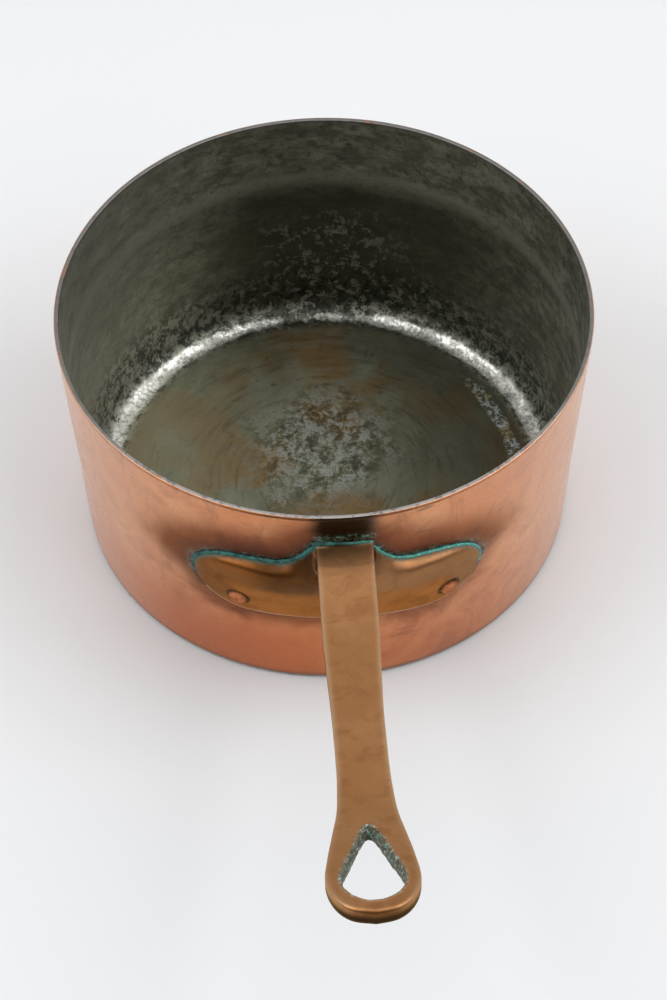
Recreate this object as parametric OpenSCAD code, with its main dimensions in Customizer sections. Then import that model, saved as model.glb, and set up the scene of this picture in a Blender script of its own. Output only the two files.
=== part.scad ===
// Copper saucepan: a tapered copper shell with a wiped tin lining and a cast brass handle
// held on by three copper rivets.  Millimetres.  The origin is the centre of the base's
// underside, +Z is up, and the handle points along -Y.

/* [Pan] */
// Outside diameter at the rim
rim_d = 200; // [180:1:220]
// How much wider the wall is at the rim than at the base plane, on the radius
flare = 6.4; // [2:0.1:10]
// Overall height
pan_h = 104; // [90:1:130]
// Copper thickness of the wall, square to the wall
wall_t = 1.4; // [1.2:0.1:2.5]
// Copper thickness of the floor
floor_t = 2; // [1.4:0.1:3]
// Thickness of the tin lining
tin_t = 0.3; // [0.2:0.05:0.5]
// Outside radius of the bottom corner
corner_r = 2.5; // [1.5:0.1:6]
// Inside radius between wall and floor
fillet_r = 9; // [6:0.5:12]

/* [Handle bracket] */
// Depth of the bracket's lower edge below the rim, at its middle
bracket_low = 61; // [59:0.5:63]
// Half of the bracket's width, seen from the front
wing_reach = 52.2; // [50.5:0.1:56]
// How far the thick crest of the wings stands off the wall
crest_t = 8; // [5:0.1:10]
// How far the lower edge stands off the wall
edge_t = 1.8; // [1:0.1:2.5]

/* [Handle strap] */
// Depth of the strap's top face below the rim, at the wall
strap_drop = 15.5; // [12:0.5:20]
// Width at the root
root_w = 20.5; // [18:0.1:24]
// Width at the waist
waist_w = 17.6; // [14:0.1:20]
// Width of the hanging loop
loop_w = 30.4; // [26:0.1:36]
// Distance from the rim to the handle's end, seen from above
strap_len = 178; // [165:1:200]
// Thickness at the root
strap_t = 6; // [4.5:0.1:8]
// Thickness at the loop
loop_t = 6.8; // [5:0.1:9]
// Upward slope of the outer half, in degrees
rise = 19; // [12:1:24]

/* [Hand fitting] */
// Lean of the casting as it was riveted on, in degrees; the right wing is the lower one
lean = 2; // [0:0.5:3]
// Turn of the strap away from square to the pan, in degrees
skew = 1.15; // [0:0.05:2]

/* [Rivets] */
// Shank diameter
shank_d = 4.8; // [4:0.1:6]
// Diameter of the domed outer heads
head_d = 7.6; // [6:0.1:9]
// Height of the domed outer heads
head_h = 1.7; // [1:0.1:2.5]
// Diameter of the flat inner heads
inner_head_d = 9.5; // [8:0.1:11]
// Height of the flat inner heads
inner_head_h = 1.4; // [0.8:0.1:2]
// Angle from the handle to a wing rivet, in degrees
rivet_angle = 22.7; // [20:0.1:25]
// Depth of the wing rivets below the rim
rivet_drop = 52.4; // [50:0.1:54]
// Depth of the middle rivet below the rim
mid_rivet_drop = 50; // [48:0.5:53]

/* [Hidden] */
$fn = 360;

copper = "#c97a4e";
brass = "#a5733f";
tin = "#7d7f78";

rim_r = rim_d / 2;
base_r = rim_r - flare;
taper = atan(flare / pan_h);
handle_reach = rim_r + strap_len;
arc_steps = 8;
curve_steps = 5;
far = 400;
through = 40;

// Outer radius of the tapered wall at a height z
function wall_r(z) = base_r + z * tan(taper);

function flipped(list) = [for (i = [len(list) - 1 : -1 : 0]) list[i]];

// Half section of a cup: t in from the wall's outer face, its floor at z, its corner rounded
function cup(t, z, r) =
    let (
        wall_0 = base_r - t / cos(taper),
        cx = wall_0 + (z + r) * tan(taper) - r / cos(taper)
    )
    concat(
        [[0, z]],
        [for (i = [0 : arc_steps])
            let (a = -90 + (90 - taper) * i / arc_steps)
            [cx + r * cos(a), z + r + r * sin(a)]],
        [[wall_0 + pan_h * tan(taper), pan_h]]
    );

outer_face = cup(0, 0, corner_r);
copper_face = cup(wall_t, floor_t, fillet_r + tin_t);
tin_face = cup(wall_t + tin_t, floor_t + tin_t, fillet_r);

// Smooth curve through hand-chosen points (Catmull-Rom), its end points doubled
function blend_at(a, b, c, d, t) =
    0.5 * (2 * b + (c - a) * t + (2 * a - 5 * b + 4 * c - d) * t * t
        + (3 * b - a - 3 * c + d) * t * t * t);

function smooth(p) =
    let (n = len(p) - 1)
    concat(
        [for (i = [0 : n - 1], k = [0 : curve_steps - 1])
            blend_at(p[max(i - 1, 0)], p[i], p[i + 1], p[min(i + 2, n)], k / curve_steps)],
        [p[n]]
    );

// Right half of the bracket's outline, [x, height from the rim], from bottom centre into the
// strap: lower edge, round tip, crest, the dip beside the strap and the rise into its side
wing = smooth([
    [0, -bracket_low],
    [15, -bracket_low - 1],
    [28, -bracket_low - 1.8],
    [37, -bracket_low - 1],
    [wing_reach - 8.7, -bracket_low + 1.4],
    [wing_reach - 3.8, -bracket_low + 5.7],
    [wing_reach - 1, -bracket_low + 10.7],
    [wing_reach, -45],
    [wing_reach - 1.6, -38.8],
    [wing_reach - 6.2, -33.8],
    [40, -31],
    [32, -29.5],
    [24.5, -29],
    [18.5, -26.9],
    [13.8, -22.3],
    [root_w / 2 + 0.6, -strap_drop - 2.6],
    [root_w / 2 - 3, -strap_drop - 2.4]
]);

// The same outline drawn in by a distance, square to its own edge
function drawn_in(p, d) =
    [for (i = [0 : len(p) - 1])
        let (
            e = p[min(i + 1, len(p) - 1)] - p[max(i - 1, 0)],
            n = [-e[1], e[0]] / norm(e),
            q = p[i] + n * d
        )
        [max(q[0], 0), q[1]]];

function mirrored(p) = [for (q = p) [-q[0], q[1]]];

// Stand-off of the bracket's face from the wall, against height from the rim
crest_low = -38;
stand_off = smooth([
    [crest_t, -strap_drop + 1],
    [crest_t, crest_low + 8],
    [crest_t, crest_low],
    [crest_t * 0.84, crest_low - 4],
    [crest_t * 0.58, crest_low - 9],
    [crest_t * 0.38, crest_low - 15],
    [edge_t + 0.4, crest_low - 20],
    [edge_t, -bracket_low - 5]
]);

// The handle's parts start this far inside the rim's radius, and are cut to the wall's face
root_in = 12;

// The bracket's rounded shoulder is made of layers, [stand-off at most, outline drawn in by]
bracket_layers = [
    [2.6, 0],
    [5.4, 0.8],
    [crest_t, 2.4]
];

// Ring that stands off the wall by the bracket's thickness, but at most by cap
module thickened(cap) {
    face = [for (q = stand_off) [wall_r(pan_h + q[1]) + min(q[0], cap), pan_h + q[1]]];
    inner_r = rim_r - root_in;
    rotate_extrude()
        polygon(concat(face, [
            [inner_r, face[len(face) - 1][1]],
            [inner_r, face[0][1]]
        ]));
}

// One layer of the bracket: the thickened wall inside the outline drawn in by inset
module bracket_layer(cap, inset) {
    half = drawn_in(wing, inset);
    intersection() {
        thickened(cap);
        translate([0, 0, pan_h])
            rotate([90, lean, 0])
                linear_extrude(height = far)
                    polygon(concat(half, flipped(mirrored(half))));
    }
}

// Centre line of the strap's top face as [distance from the axis, height from the rim, slope]
strap_flat = 13.5;
bend_r = 211;
bend_at = rim_r + strap_flat;
bend_end = bend_at + bend_r * sin(rise);
bend_lift = bend_r * (1 - cos(rise));
tip_r = loop_t / 2;
tip_run = handle_reach - tip_r - bend_end;
top_line = concat(
    [[rim_r - root_in, -strap_drop, 0]],
    [for (i = [0 : arc_steps])
        let (a = rise * i / arc_steps)
        [bend_at + bend_r * sin(a), -strap_drop + bend_r * (1 - cos(a)), a]],
    [[bend_end + tip_run, -strap_drop + bend_lift + tip_run * tan(rise), rise]]
);
tip_end = top_line[len(top_line) - 1];

// Thickness grows evenly from the root to the loop
function thick_at(d) =
    strap_t + (loop_t - strap_t) * (d - rim_r) / (handle_reach - rim_r);

under_line = [for (q = top_line)
    [q[0] + thick_at(q[0]) * sin(q[2]), q[1] - thick_at(q[0]) * cos(q[2])]];

// The half-round end, from the underside to the top
tip_line = [for (i = [1 : arc_steps - 1])
    let (
        a = rise - 90 + 180 * i / arc_steps,
        c = [tip_end[0] + tip_r * sin(rise), tip_end[1] - tip_r * cos(rise)]
    )
    [c[0] + tip_r * cos(a), c[1] + tip_r * sin(a)]];

side_outline = concat(
    under_line,
    tip_line,
    flipped([for (q = top_line) [q[0], q[1]]])
);

// Web under the strap that carries it into the bracket, hollowed along its free edge
web_w = root_w * 0.6;
web_drop = 17;
web_run = 20;
web_start = rim_r + 2;
web_top = -strap_drop - 1;
web_outline = concat(
    [[rim_r - root_in, web_top], [rim_r - root_in, -strap_drop - strap_t - web_drop]],
    [for (i = [0 : arc_steps])
        let (a = 90 * i / arc_steps)
        [web_start + web_run * (1 - cos(a)), -strap_drop - strap_t - web_drop * (1 - sin(a))]],
    [[web_start + web_run, web_top]]
);

// Half of the strap's outline from above, [distance from the axis, half width]
plan = smooth([
    [rim_r - root_in, root_w / 2],
    [rim_r + 33, root_w / 2 - 0.1],
    [rim_r + 56, (root_w + waist_w) / 4],
    [rim_r + 80, waist_w / 2 + 0.1],
    [handle_reach - 73, waist_w / 2],
    [handle_reach - 58, waist_w / 2 + 0.5],
    [handle_reach - 47, waist_w / 2 + 1.3],
    [handle_reach - 36, loop_w / 2 - 3],
    [handle_reach - 26, loop_w / 2 - 1.1],
    [handle_reach - 16, loop_w / 2],
    [handle_reach - 7.5, loop_w / 2 - 2.3],
    [handle_reach - 2, loop_w / 2 - 7.5],
    [handle_reach, 0]
]);

// Half of the hanging hole's outline in the loop's own plane, [distance outwards, half width]
hole_at = handle_reach - 23;
hole = smooth([
    [-20.4, 0],
    [-19.4, 1.5],
    [-13.9, 4],
    [-7, 6.5],
    [-1, 8.9],
    [4, 10.3],
    [8, 10.3],
    [12, 8.6],
    [15, 5.6],
    [16.5, 2.6],
    [16.7, 0]
]);

// Extrudes an outline drawn as [distance from the axis, height from the rim] across the strap
module across(outline, width) {
    translate([0, 0, pan_h])
        rotate([90, 0, -90])
            linear_extrude(height = width, center = true)
                polygon(outline);
}

// Extrudes an outline drawn as [distance from the axis, half width] upwards
module upwards(half) {
    rotate([0, 0, -90])
        linear_extrude(height = far, center = true)
            polygon(concat(half, flipped([for (q = half) [q[0], -q[1]]])));
}

module hanging_hole() {
    lift = -strap_drop + bend_lift + (hole_at - bend_end) * tan(rise);
    translate([0, -hole_at, pan_h + lift])
        rotate([-rise, 0, 0])
            upwards(hole);
}

module strap() {
    translate([0, -rim_r, 0])
        rotate([0, 0, -skew])
            translate([0, rim_r, 0])
                difference() {
                    intersection() {
                        across(side_outline, 2 * loop_w);
                        upwards(plan);
                    }
                    hanging_hole();
                }
    across(web_outline, web_w);
}

// Everything inside the wall's outer face, and a little above the rim
module pan_space() {
    cylinder(h = pan_h, r1 = base_r, r2 = rim_r);
    translate([0, 0, pan_h])
        cylinder(h = through, r = rim_r);
}

// Places its children at a rivet: z points outwards, and z = 0 is on the wall's outer face
module at_rivet(angle, drop) {
    z = pan_h - drop;
    rotate([0, 0, angle])
        translate([0, -wall_r(z), z])
            rotate([90, 0, 0])
                children();
}

// The leaning casting carries its left rivet up and its right rivet down
lean_shift = rim_r * sin(rivet_angle) * tan(lean);
rivet_places = [
    [-rivet_angle, rivet_drop - lean_shift],
    [rivet_angle, rivet_drop + lean_shift],
    [0, mid_rivet_drop]
];

module rivet_holes() {
    for (p = rivet_places)
        at_rivet(p[0], p[1])
            cylinder(h = through, d = shank_d, center = true);
}

// Stand-off of the bracket's face at a drop below the rim
function stand_at(drop) = lookup(-drop, [for (q = flipped(stand_off)) [q[1], q[0]]]);

// A rivet's outer head sits in a shallow flat seat, sunk this far below the bracket's face
seat_sink = 0.5;
seat_gap = 0.2;

module rivet_seats() {
    for (p = rivet_places)
        at_rivet(p[0], p[1])
            translate([0, 0, stand_at(p[1]) - seat_sink])
                cylinder(h = 2 * head_d, d = head_d + 2 * seat_gap);
}

// Half section of the shank and its domed outer head, which is an arc of a circle
function rivet_section(bottom, seat) =
    let (
        h = head_h + seat_sink,
        r = (head_d * head_d / 4 + h * h) / (2 * h),
        half_angle = asin(head_d / 2 / r)
    )
    concat(
        [[0, bottom], [shank_d / 2, bottom], [shank_d / 2, seat]],
        [for (i = [0 : arc_steps])
            let (a = half_angle * (1 - i / arc_steps))
            [r * sin(a), seat + h - r + r * cos(a)]]
    );

module rivet(place) {
    inner_z = -(wall_t + tin_t) / cos(taper);
    color(copper) {
        at_rivet(place[0], place[1])
            rotate_extrude()
                polygon(rivet_section(
                    inner_z - inner_head_h / 2,
                    stand_at(place[1]) - seat_sink
                ));
        intersection() {
            at_rivet(place[0], place[1])
                translate([0, 0, inner_z - inner_head_h])
                    cylinder(h = 3 * inner_head_h, d = inner_head_d);
            cylinder(h = pan_h, r1 = base_r + inner_z, r2 = rim_r + inner_z);
        }
    }
}

module pan_body() {
    color(copper)
        difference() {
            rotate_extrude()
                polygon(concat(outer_face, flipped(copper_face)));
            rivet_holes();
        }
}

module tin_lining() {
    color(tin)
        difference() {
            rotate_extrude()
                polygon(concat(copper_face, flipped(tin_face)));
            rivet_holes();
        }
}

module handle() {
    color(brass)
        difference() {
            union() {
                for (layer = bracket_layers)
                    bracket_layer(layer[0], layer[1]);
                strap();
            }
            pan_space();
            rivet_holes();
            rivet_seats();
        }
}

pan_body();
tin_lining();
handle();
rivet(rivet_places[0]);  // rivet_left
rivet(rivet_places[1]);  // rivet_right
rivet(rivet_places[2]);  // rivet_center
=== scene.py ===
import math
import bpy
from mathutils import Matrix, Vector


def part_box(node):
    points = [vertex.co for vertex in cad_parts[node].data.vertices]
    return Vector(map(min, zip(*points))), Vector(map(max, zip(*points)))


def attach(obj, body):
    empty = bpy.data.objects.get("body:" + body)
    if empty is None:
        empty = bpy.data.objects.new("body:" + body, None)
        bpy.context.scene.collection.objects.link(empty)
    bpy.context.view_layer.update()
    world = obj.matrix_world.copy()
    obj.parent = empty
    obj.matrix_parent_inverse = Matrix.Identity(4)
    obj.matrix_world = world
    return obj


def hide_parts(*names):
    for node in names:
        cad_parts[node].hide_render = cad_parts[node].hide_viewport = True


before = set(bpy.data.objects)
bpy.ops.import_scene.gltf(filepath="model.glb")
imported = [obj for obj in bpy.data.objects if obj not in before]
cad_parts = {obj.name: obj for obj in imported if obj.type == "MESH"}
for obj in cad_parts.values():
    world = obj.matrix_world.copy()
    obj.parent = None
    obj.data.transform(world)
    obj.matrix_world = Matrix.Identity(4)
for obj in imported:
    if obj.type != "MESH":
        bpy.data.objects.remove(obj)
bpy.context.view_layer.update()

from types import SimpleNamespace

import bpy
import numpy as np
import openvdb
from mathutils import Matrix, Vector

MM = 0.001

# ---------------------------------------------------------------- driving sizes, millimetres
pan_low, pan_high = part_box("pan_body")
RIM_R = (pan_high.x - pan_low.x) / 2 / MM
PAN_H = pan_high.z / MM
HANDLE_END = -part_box("handle")[0].y / MM
FLARE = 6.4
BASE_R = RIM_R - FLARE
TAPER = math.atan(FLARE / PAN_H)
WALL_T, FLOOR_T, TIN_T = 1.4, 2.0, 0.3
CORNER_R, FILLET_R = 2.5, 9.0

LEAN, SKEW = math.radians(2.0), math.radians(1.15)
WING_REACH, BRACKET_LOW, CREST_T = 52.2, 61.0, 8.0
STRAP_DROP, STRAP_T, LOOP_T = 15.5, 6.0, 6.8
ROOT_W, WAIST_W, LOOP_W = 20.5, 17.6, 30.4
RISE, BEND_R, STRAP_FLAT = math.radians(19.0), 211.0, 13.5
REACH = RIM_R + 178.0
RIVET_ANGLE, RIVET_DROP, MID_RIVET_DROP = math.radians(22.7), 52.4, 50.0
SHANK_D, HEAD_D, HEAD_H = 4.8, 7.6, 1.7
INNER_HEAD_D, INNER_HEAD_H = 9.5, 1.4


def wall_r(z):
    """Outer radius of the tapered wall at height z."""
    return BASE_R + z * math.tan(TAPER)


# ---------------------------------------------------------------- small maths
def smooth(points, steps=6):
    """Catmull-Rom curve through the given points, its end points doubled."""
    p = np.array(points, float)
    p = np.vstack([p[:1], p, p[-1:]])
    t = np.linspace(0, 1, steps, endpoint=False)[:, None]
    out = []
    for a, b, c, d in zip(p, p[1:], p[2:], p[3:]):
        out.append(0.5 * (2 * b + (c - a) * t + (2 * a - 5 * b + 4 * c - d) * t * t
                          + (3 * b - a - 3 * c + d) * t ** 3))
    return np.vstack(out + [p[-1:]])


def smoothstep(low, high, x):
    t = np.clip((x - low) / (high - low), 0, 1)
    return t * t * (3 - 2 * t)


def shoulder(x, width):
    """Quarter ellipse: 0 at x = 0, rising steeply and levelling out at 1 at x = width."""
    t = np.clip(x / width, 0, 1)
    return np.sqrt(np.clip(1 - (1 - t) ** 2, 0, 1))


def soft_min(a, b, k):
    """Smooth minimum: the two surfaces blend in a fillet about k wide."""
    h = np.maximum(k - np.abs(a - b), 0) / k
    return np.minimum(a, b) - h * h * k / 4


def soft_max(a, b, k):
    return -soft_min(-a, -b, k)


def ripple(x, y, z, lengths, seed):
    """Smooth random relief from -1 to 1, a sum of sine waves of the given wavelengths."""
    rng = np.random.default_rng(seed)
    total = np.zeros(np.broadcast(x, y, z).shape, np.float32)
    for length in lengths:
        for _ in range(3):
            v = rng.normal(size=3)
            v *= 2 * math.pi / length / np.linalg.norm(v)
            total += np.sin(v[0] * x + v[1] * y + v[2] * z + rng.uniform(0, 6.28))
    return total / (3 * len(lengths))


def curve_distance(path, x, y):
    """Distance from points to an open line of straight segments."""
    best = np.full(np.broadcast(x, y).shape, 1e9)
    for (ax, ay), (bx, by) in zip(path, path[1:]):
        ex, ey = bx - ax, by - ay
        t = np.clip(((x - ax) * ex + (y - ay) * ey) / max(ex * ex + ey * ey, 1e-12), 0, 1)
        best = np.minimum(best, np.hypot(x - ax - t * ex, y - ay - t * ey))
    return best


def outline_distance(outline, x, y):
    """Signed distance to a closed outline, negative inside."""
    closed = np.vstack([outline, outline[:1]])
    inside = np.zeros(np.broadcast(x, y).shape, bool)
    for (ax, ay), (bx, by) in zip(closed, closed[1:]):
        crosses = (ay > y) != (by > y)
        with np.errstate(divide="ignore", invalid="ignore"):
            inside ^= crosses & (x < (bx - ax) * (y - ay) / (by - ay) + ax)
    return np.where(inside, -1, 1) * curve_distance(closed, x, y)


class Table:
    """A function of two variables, tabled on a fine grid and read back by interpolation."""

    def __init__(self, low, high, step, function):
        self.low, self.step = low, step
        axes = [np.arange(a, b + step, step) for a, b in zip(low, high)]
        self.data = function(*np.meshgrid(*axes, indexing="ij")).astype(np.float32)

    def __call__(self, x, y):
        i = np.clip((x - self.low[0]) / self.step, 0, self.data.shape[0] - 1.001)
        j = np.clip((y - self.low[1]) / self.step, 0, self.data.shape[1] - 1.001)
        a, b = i.astype(np.int32), j.astype(np.int32)
        u, v = i - a, j - b
        d = self.data
        return ((d[a, b] * (1 - u) + d[a + 1, b] * u) * (1 - v)
                + (d[a, b + 1] * (1 - u) + d[a + 1, b + 1] * u) * v)


# ---------------------------------------------------------------- meshes
def mesh_object(name, points, faces, attributes=()):
    """A mesh object from points in millimetres, with float attributes on its points."""
    mesh = bpy.data.meshes.new(name)
    mesh.from_pydata((np.asarray(points) * MM).tolist(), [], [list(f) for f in faces])
    for key, values in dict(attributes).items():
        layer = mesh.attributes.new(key, "FLOAT", "POINT")
        layer.data.foreach_set("value", np.asarray(values, np.float32))
    mesh.shade_smooth()
    obj = bpy.data.objects.new(name, mesh)
    bpy.context.scene.collection.objects.link(obj)
    return obj


def lathe(profile, segments):
    """A closed solid of revolution whose profile runs from axis to axis. Returns the rings as
    arrays of radius, height and angle, and the faces, which count the two axis points last."""
    angle = np.linspace(0, 2 * math.pi, segments, endpoint=False)
    rings = np.array(profile[1:-1], float)
    radius, height = np.repeat(rings[:, :1], segments, 1), np.repeat(rings[:, 1:], segments, 1)
    turn = np.broadcast_to(angle, radius.shape)
    faces = []
    count = len(rings)
    here = np.arange(segments)
    after = (here + 1) % segments
    for k in range(count - 1):
        faces += np.stack([k * segments + here, k * segments + after,
                           (k + 1) * segments + after, (k + 1) * segments + here], 1).tolist()
    first, last = count * segments, count * segments + 1
    faces += [[first, int(b), int(a)] for a, b in zip(here, after)]
    top = (count - 1) * segments
    faces += [[last, top + int(a), top + int(b)] for a, b in zip(here, after)]
    return radius, height, turn, faces


def turned_points(radius, height, turn, start, end):
    ring = np.stack([radius * np.sin(turn), -radius * np.cos(turn), height], -1).reshape(-1, 3)
    return np.vstack([ring, [[0, 0, start], [0, 0, end]]])


def arc(cx, cz, r, start, end, steps):
    a = np.radians(np.linspace(start, end, steps))
    return [[cx + r * c, cz + r * s] for c, s in zip(np.cos(a), np.sin(a))]


def line(a, b, spacing):
    """Points along a straight stretch, without its end point."""
    steps = max(2, int(math.dist(a, b) / spacing))
    return [[a[0] + (b[0] - a[0]) * i / steps, a[1] + (b[1] - a[1]) * i / steps]
            for i in range(steps)]


# ---------------------------------------------------------------- the pan's section
def cup(t, floor, r, spacing, top=PAN_H):
    """Half section of a cup, t in from the wall's outer face, its floor at the given height."""
    wall_0 = BASE_R - t / math.cos(TAPER)
    cx = wall_0 + (floor + r) * math.tan(TAPER) - r / math.cos(TAPER)
    bend = arc(cx, floor + r, r, -90, -math.degrees(TAPER), 14)
    rim = [wall_0 + top * math.tan(TAPER), top]
    return (line([0, floor], bend[0], spacing) + bend[:-1] + line(bend[-1], rim, spacing) + [rim])


def front_view(points):
    """Sideways place and height from the rim of points, as the bracket's outline is drawn."""
    return points[:, 0], points[:, 2] - PAN_H


# ---------------------------------------------------------------- the handle's outlines
WING = smooth([
    [0, -BRACKET_LOW],
    [15, -BRACKET_LOW - 1],
    [28, -BRACKET_LOW - 1.8],
    [37, -BRACKET_LOW - 1],
    [43.5, -BRACKET_LOW + 1.4],
    [48.4, -BRACKET_LOW + 5.7],
    [51.2, -BRACKET_LOW + 10.7],
    [WING_REACH, -45],
    [50.6, -38.8],
    [46, -33.8],
    [40, -31],
    [32, -29.5],
    [24.5, -29],
    [18.5, -26.9],
    [13.8, -22.3],
    [ROOT_W / 2 + 0.6, -STRAP_DROP - 2.6],
    [ROOT_W / 2 - 3, -STRAP_DROP - 2.4],
])
TIP_AT = int(np.argmax(WING[:, 0]))
UPPER_EDGE, LOWER_EDGE = WING[TIP_AT - 4:], WING[:TIP_AT + 1]
BRACKET = np.vstack([WING, WING[::-1] * [-1, 1]])


def leaned(x, h):
    """Front-view place in the casting's own frame, which leans on the pan."""
    return (x * math.cos(LEAN) - h * math.sin(LEAN), x * math.sin(LEAN) + h * math.cos(LEAN))


def unleaned(u, v):
    return (u * math.cos(LEAN) + v * math.sin(LEAN), -u * math.sin(LEAN) + v * math.cos(LEAN))


END_TRIM = 0.5
BEND_AT = RIM_R + STRAP_FLAT
BEND_END = BEND_AT + BEND_R * math.sin(RISE)


def top_height(d):
    """Height from the rim of the strap's top face, at distance d from the pan's axis."""
    run = np.clip(d - BEND_AT, 0, BEND_R * math.sin(RISE))
    return (-STRAP_DROP + BEND_R - np.sqrt(BEND_R ** 2 - run ** 2)
            + np.maximum(d - BEND_END, 0) * math.tan(RISE))


def top_slope(d):
    return np.arcsin(np.clip((d - BEND_AT) / BEND_R, 0, math.sin(RISE)))


PATH_D = np.arange(RIM_R - 20, REACH + 30, 0.25)
PATH_S = np.concatenate([[0], np.cumsum(np.hypot(np.diff(PATH_D), np.diff(top_height(PATH_D))))])


def along(d):
    """Length along the strap's top face, from its start inside the wall."""
    return np.interp(d, PATH_D, PATH_S)


PLAN_HALF = smooth([
    [RIM_R - 12, ROOT_W / 2],
    [RIM_R + 33, ROOT_W / 2 - 0.1],
    [RIM_R + 56, (ROOT_W + WAIST_W) / 4],
    [RIM_R + 80, WAIST_W / 2 + 0.1],
    [REACH - 73, WAIST_W / 2],
    [REACH - 58, WAIST_W / 2 + 0.5],
    [REACH - 47, WAIST_W / 2 + 1.3],
    [REACH - 36, LOOP_W / 2 - 3],
    [REACH - 26, LOOP_W / 2 - 1.1],
    [REACH - 16, LOOP_W / 2],
    [REACH - 7.5, LOOP_W / 2 - 2.3],
    [REACH - 2, LOOP_W / 2 - 7.5],
    [REACH, 0],
])
HOLE_HALF = smooth([
    [-20.4, 0], [-19.4, 1.5], [-13.9, 4.0], [-7, 6.5], [-1, 8.9],
    [4, 10.3], [8, 10.3], [12, 8.6], [15, 5.6], [16.5, 2.6], [16.7, 0],
])
HOLE_AT = along(REACH - 23)


def both_sides(half):
    return np.vstack([half, half[::-1] * [1, -1]])


PLAN = both_sides(np.column_stack([along(PLAN_HALF[:, 0]), PLAN_HALF[:, 1]]))
HOLE = both_sides(HOLE_HALF + [HOLE_AT, 0])
plan_table = Table((0, -22), (along(REACH) + 8, 22), 0.25,
                   lambda s, x: outline_distance(PLAN, s, x))
hole_table = Table((HOLE_AT - 40, -22), (HOLE_AT + 34, 22), 0.25,
                   lambda s, x: outline_distance(HOLE, s, x))

WEB_DROP, WEB_RUN = 17.0, 20.0
WEB = np.array([[RIM_R - 12, -STRAP_DROP - 1], [RIM_R - 12, -STRAP_DROP - STRAP_T - WEB_DROP]]
               + [[RIM_R + 2 + WEB_RUN * (1 - math.cos(a)),
                   -STRAP_DROP - STRAP_T - WEB_DROP * (1 - math.sin(a))]
                  for a in np.linspace(0, math.pi / 2, 9)]
               + [[RIM_R + 2 + WEB_RUN, -STRAP_DROP - 1]])
web_table = Table((RIM_R - 22, -60), (RIM_R + 42, 0), 0.25,
                  lambda d, h: outline_distance(WEB, d, h))


def bracket_tables():
    low, high, step = (-62, -70), (62, -8), 0.25
    size = Table(low, high, step, lambda u, v: outline_distance(BRACKET, u, v))
    upper = Table(low, high, step, lambda u, v: curve_distance(UPPER_EDGE, np.abs(u), v))
    lower = Table(low, high, step, lambda u, v: curve_distance(LOWER_EDGE, np.abs(u), v))
    return size, upper, lower


outline_table, upper_table, lower_table = bracket_tables()


CREST_ROUND = 11.0
FALL, FALL_FROM, FALL_TO = 5.0, 9.0, 27.0
FOOT_T, FOOT_ROUND, FOOT_SLOPE = 1.7, 1.3, 0.17
SWELL_T, SWELL_FROM, SWELL_W = 3.0, 8.5, 8.0
CREST_BLEND = 3.0


def bracket_stand_off(u, v):
    """How far the bracket's face stands off the wall: a round shoulder along the upper edge,
    a hollow below it, a thin lower edge, and a swelling beside the strap. The foot's slope
    also holds the crest down, so it is full only beside the strap and low at the tips."""
    top, low = upper_table(u, v), lower_table(u, v)
    crest = CREST_T * shoulder(top, CREST_ROUND) - FALL * smoothstep(FALL_FROM, FALL_TO, top)
    foot = FOOT_T * shoulder(low, FOOT_ROUND) + FOOT_SLOPE * low
    side = np.maximum(np.abs(u) - SWELL_FROM, 0)
    swell = SWELL_T * np.exp(-(side / SWELL_W) ** 2) * (0.25 + 0.75 * smoothstep(-60, -24, v))
    return soft_min(crest, foot, CREST_BLEND) + swell * shoulder(top, 7) * shoulder(low, 9)


RIVETS = [
    ("rivet_left", -RIVET_ANGLE, RIVET_DROP - RIM_R * math.sin(RIVET_ANGLE) * math.tan(LEAN)),
    ("rivet_right", RIVET_ANGLE, RIVET_DROP + RIM_R * math.sin(RIVET_ANGLE) * math.tan(LEAN)),
    ("rivet_center", 0.0, MID_RIVET_DROP),
]


def rivet_frame(angle, drop):
    """Seat point on the bracket's face, and the outward direction, of a rivet."""
    z = PAN_H - drop
    outward = np.array([math.sin(angle), -math.cos(angle), 0.0])
    u, v = leaned(wall_r(z) * outward[0], -drop)
    stand = float(bracket_stand_off(np.array([u]), np.array([v]))[0])
    return outward * (wall_r(z) + stand) + [0, 0, z], outward


def handle_fields(x, y, z):
    """Signed distances of the casting's parts at the given points, and places along them."""
    h = z - PAN_H
    radius = np.hypot(x, y)
    off_wall = (radius - BASE_R - z * math.tan(TAPER)) * math.cos(TAPER)
    u, v = leaned(x, h)
    stand = bracket_stand_off(u, v)
    edge = outline_table(u, v)
    bracket = soft_max((off_wall - stand) * 0.8, edge, 0.4)

    # the strap, in its own frame turned about its root
    c, s = math.cos(SKEW), math.sin(SKEW)
    sx = x * c - (y + RIM_R) * s
    d = -(x * s + (y + RIM_R) * c) + RIM_R
    foot = d
    for _ in range(2):
        slope = top_slope(foot)
        n = (h - top_height(foot)) / np.cos(slope)
        foot = d + n * np.sin(slope)
    length = along(foot)
    outer = smoothstep(REACH - 42, REACH - 8, foot)
    half_t = (STRAP_T + (LOOP_T - STRAP_T) * (foot - RIM_R) / (REACH - RIM_R)) / 2
    mid = n + half_t
    side = plan_table(length + half_t * np.tan(slope) + END_TRIM, sx)
    r = np.where(mid > 0, 0.7 + 0.7 * outer, 1.5 + 1.2 * outer)
    a, b = np.abs(mid) - half_t + r, side + r
    strap = (np.minimum(np.maximum(a, b), 0) + np.hypot(np.maximum(a, 0), np.maximum(b, 0)) - r)
    hole = (hole_table(length, sx) + 0.55 * np.clip(1 - np.abs(mid) / half_t, 0, 1)
            + 0.3 + 0.22 * ripple(x, y, z, (2.4, 3.7), 6))
    web = np.maximum(np.maximum(web_table(d, h), np.abs(sx) - ROOT_W * 0.3), n + 4.5)
    return SimpleNamespace(off_wall=off_wall, bracket=bracket, strap=strap, hole=hole, web=web,
                           edge=edge, side=side, level=mid / half_t,
                           corner=np.abs(side) + np.abs(np.abs(mid) - half_t), d=d, sx=sx)


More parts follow.
